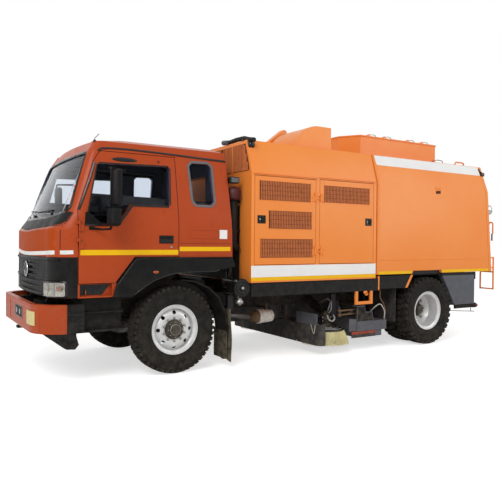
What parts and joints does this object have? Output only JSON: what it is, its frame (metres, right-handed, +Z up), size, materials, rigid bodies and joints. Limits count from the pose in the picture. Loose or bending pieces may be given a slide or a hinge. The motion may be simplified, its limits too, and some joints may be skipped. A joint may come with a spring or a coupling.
{
  "type": "street sweeper truck",
  "caption": "Road sweeper on a rigid truck chassis, with a tilting cab, an engine canopy, a tipping hopper, side brushes and a suction nozzle.",
  "frame": {"origin": "on the ground at the middle of the truck's overall length and width", "axes": "+X forward, +Y to the truck's left side, +Z up"},
  "size_m": [7.499, 2.8, 3.27],
  "materials": {
    "chassis_black": "satin chassis black",
    "engine_iron": "oily cast iron",
    "cab_paint": "red-orange gloss enamel",
    "body_orange": "bright orange gloss enamel",
    "body_grey": "blue-grey satin enamel",
    "black_plastic": "moulded black polypropylene",
    "black_rubber": "worn rubber sheet",
    "tank_aluminium": "plain rolled",
    "exhaust_steel": "dulled, with heat wrap",
    "bristle_nylon": "cream nylon bristle",
    "lamp_glass": "clear lens",
    "window_glass": "grey tinted",
    "cab_trim": "dark grey cloth and plastic",
    "ram_steel": "ground and plated",
    "tyre_rubber": "worn black rubber",
    "wheel_silver": "silver wheel enamel"
  },
  "bodies": {
    "chassis": {"chassis_frame": "chassis_black", "frame_members": "chassis_black", "outrigger_beams": "chassis_black", "roof_pods": "body_orange", "front_axle": "chassis_black", "rear_axle": "chassis_black", "power_train": "engine_iron", "auxiliary_engine": "engine_iron", "front_bumper": "cab_paint", "cab_steps": "black_plastic", "front_mudguards": "black_plastic", "fuel_tank": "tank_aluminium", "air_cleaner": "black_plastic", "exhaust_pipe": "exhaust_steel", "canopy_shell": "body_orange", "body_skirts": "black_plastic", "side_lockers": "body_grey", "rear_underrun": "chassis_black", "suction_nozzle": "body_grey", "orange_hangers": "body_orange", "rubber_apron": "black_rubber"},
    "cab": {"cab_shell": "cab_paint", "cab_grille": "black_plastic", "headlamps": "lamp_glass", "cab_glass": "window_glass", "cab_wings": "black_plastic", "cab_interior": "cab_trim"},
    "left_cab_door": {"cab_door_left": "cab_paint", "door_glass_left": "window_glass", "mirror_left": "black_plastic"},
    "right_cab_door": {"cab_door_right": "cab_paint", "door_glass_right": "window_glass", "mirror_right": "black_plastic"},
    "hopper": {"hopper_shell": "body_orange"},
    "rear_door": {"tailgate": "body_orange", "rear_ladder": "body_orange"},
    "ram_tube": {"ram_barrel": "ram_steel"},
    "ram_piston": {"ram_rod": "ram_steel"},
    "left_knuckle": {"knuckle_left": "chassis_black"},
    "right_knuckle": {"knuckle_right": "chassis_black"},
    "steering_rod": {"track_rod": "chassis_black"},
    "front_wheel_left": {"front_tyre_left": "tyre_rubber", "front_rim_left": "wheel_silver"},
    "front_wheel_right": {"front_tyre_right": "tyre_rubber", "front_rim_right": "wheel_silver"},
    "rear_wheels_left": {"rear_tyres_left": "tyre_rubber", "rear_rims_left": "wheel_silver"},
    "rear_wheels_right": {"rear_tyres_right": "tyre_rubber", "rear_rims_right": "wheel_silver"},
    "left_brush_arm": {"brush_arm_left": "body_grey", "brush_skirt_left": "black_rubber"},
    "left_brush": {"brush_left": "bristle_nylon"},
    "left_front_canopy_door": {"canopy_door_front_left": "body_orange"},
    "left_rear_canopy_door": {"canopy_door_rear_left": "body_orange"},
    "right_brush_arm": {"brush_arm_right": "body_grey", "brush_skirt_right": "black_rubber"},
    "right_brush": {"brush_right": "bristle_nylon"},
    "right_front_canopy_door": {"canopy_door_front_right": "body_orange"},
    "right_rear_canopy_door": {"canopy_door_rear_right": "body_orange"}
  },
  "joints": [
    {"name": "steer_left", "type": "hinge", "parent": "chassis", "child": "left_knuckle", "pos_m": [2.15, 0.775, 0.525], "axis": [0, 0, 1], "range_deg": [-32, 32]},
    {"name": "steer_right", "type": "hinge", "parent": "chassis", "child": "right_knuckle", "pos_m": [2.15, -0.775, 0.525], "axis": [0, 0, 1], "range_deg": [-32.5, 32.5]},
    {"name": "rod_shift", "type": "slide", "parent": "chassis", "child": "steering_rod", "axis": [0, 1, 0], "range_m": [-0.1025, 0.1025]},
    {"name": "spin_front_left", "type": "hinge", "parent": "left_knuckle", "child": "front_wheel_left", "pos_m": [2.15, 0.938, 0.525], "axis": [0, 1, 0], "continuous": true},
    {"name": "spin_front_right", "type": "hinge", "parent": "right_knuckle", "child": "front_wheel_right", "pos_m": [2.15, -0.938, 0.525], "axis": [0, 1, 0], "continuous": true},
    {"name": "spin_rear_left", "type": "hinge", "parent": "chassis", "child": "rear_wheels_left", "pos_m": [-2.09, 0.932, 0.525], "axis": [0, 1, 0], "continuous": true},
    {"name": "spin_rear_right", "type": "hinge", "parent": "chassis", "child": "rear_wheels_right", "pos_m": [-2.09, -0.932, 0.525], "axis": [0, 1, 0], "continuous": true},
    {"name": "cab_tilt", "type": "hinge", "parent": "chassis", "child": "cab", "pos_m": [3.6, 0, 0.7], "axis": [0, 1, 0], "range_deg": [0, 45]},
    {"name": "left_door_swing", "type": "hinge", "parent": "cab", "child": "left_cab_door", "pos_m": [3.3, 1.104, 1.5], "axis": [0, 0, -1], "range_deg": [0, 70]},
    {"name": "right_door_swing", "type": "hinge", "parent": "cab", "child": "right_cab_door", "pos_m": [3.3, -1.104, 1.5], "axis": [0, 0, 1], "range_deg": [0, 70]},
    {"name": "hopper_tip", "type": "hinge", "parent": "chassis", "child": "hopper", "pos_m": [-3.3, 0, 0.98], "axis": [0, -1, 0], "range_deg": [0, 40]},
    {"name": "tailgate_swing", "type": "hinge", "parent": "hopper", "child": "rear_door", "pos_m": [-3.44, 0, 2.91], "axis": [0, 1, 0], "range_deg": [0, 70]},
    {"name": "ram_swing", "type": "hinge", "parent": "chassis", "child": "ram_tube", "pos_m": [-2.85, 0, 0.56], "axis": [0, -1, 0], "range_deg": [-0.5, 30.54]},
    {"name": "ram_stroke", "type": "slide", "parent": "ram_tube", "child": "ram_piston", "axis": [0.606, 0, 0.7954], "range_m": [-0.002, 0.3973]},
    {"name": "left_brush_reach", "type": "slide", "parent": "chassis", "child": "left_brush_arm", "axis": [0, 0.9003, -0.4352], "range_m": [0, 0.2]},
    {"name": "left_brush_spin", "type": "hinge", "parent": "left_brush_arm", "child": "left_brush", "pos_m": [-0.31, 0.85, 0.35], "axis": [0, 0, 1], "continuous": true},
    {"name": "left_front_canopy_swing", "type": "hinge", "parent": "chassis", "child": "left_front_canopy_door", "pos_m": [0.175, 1.214, 1.8], "axis": [0, 0, 1], "range_deg": [0, 90]},
    {"name": "left_rear_canopy_swing", "type": "hinge", "parent": "chassis", "child": "left_rear_canopy_door", "pos_m": [0.078, 1.214, 1.8], "axis": [0, 0, -1], "range_deg": [0, 90]},
    {"name": "right_brush_reach", "type": "slide", "parent": "chassis", "child": "right_brush_arm", "axis": [0, -0.9003, -0.4352], "range_m": [0, 0.2]},
    {"name": "right_brush_spin", "type": "hinge", "parent": "right_brush_arm", "child": "right_brush", "pos_m": [-0.31, -0.85, 0.35], "axis": [0, 0, 1], "continuous": true},
    {"name": "right_front_canopy_swing", "type": "hinge", "parent": "chassis", "child": "right_front_canopy_door", "pos_m": [0.175, -1.214, 1.8], "axis": [0, 0, -1], "range_deg": [0, 90]},
    {"name": "right_rear_canopy_swing", "type": "hinge", "parent": "chassis", "child": "right_rear_canopy_door", "pos_m": [0.078, -1.214, 1.8], "axis": [0, 0, 1], "range_deg": [0, 90]}
  ],
  "couplings": [
    {"joint": "steer_right", "follows": "steer_left", "ratio": 1},
    {"joint": "rod_shift", "follows": "steer_left", "m_per_rad": -0.18},
    {"joint": "ram_swing", "follows": "hopper_tip", "ratio": 0.751},
    {"joint": "ram_stroke", "follows": "hopper_tip", "m_per_rad": 0.5662}
  ]
}
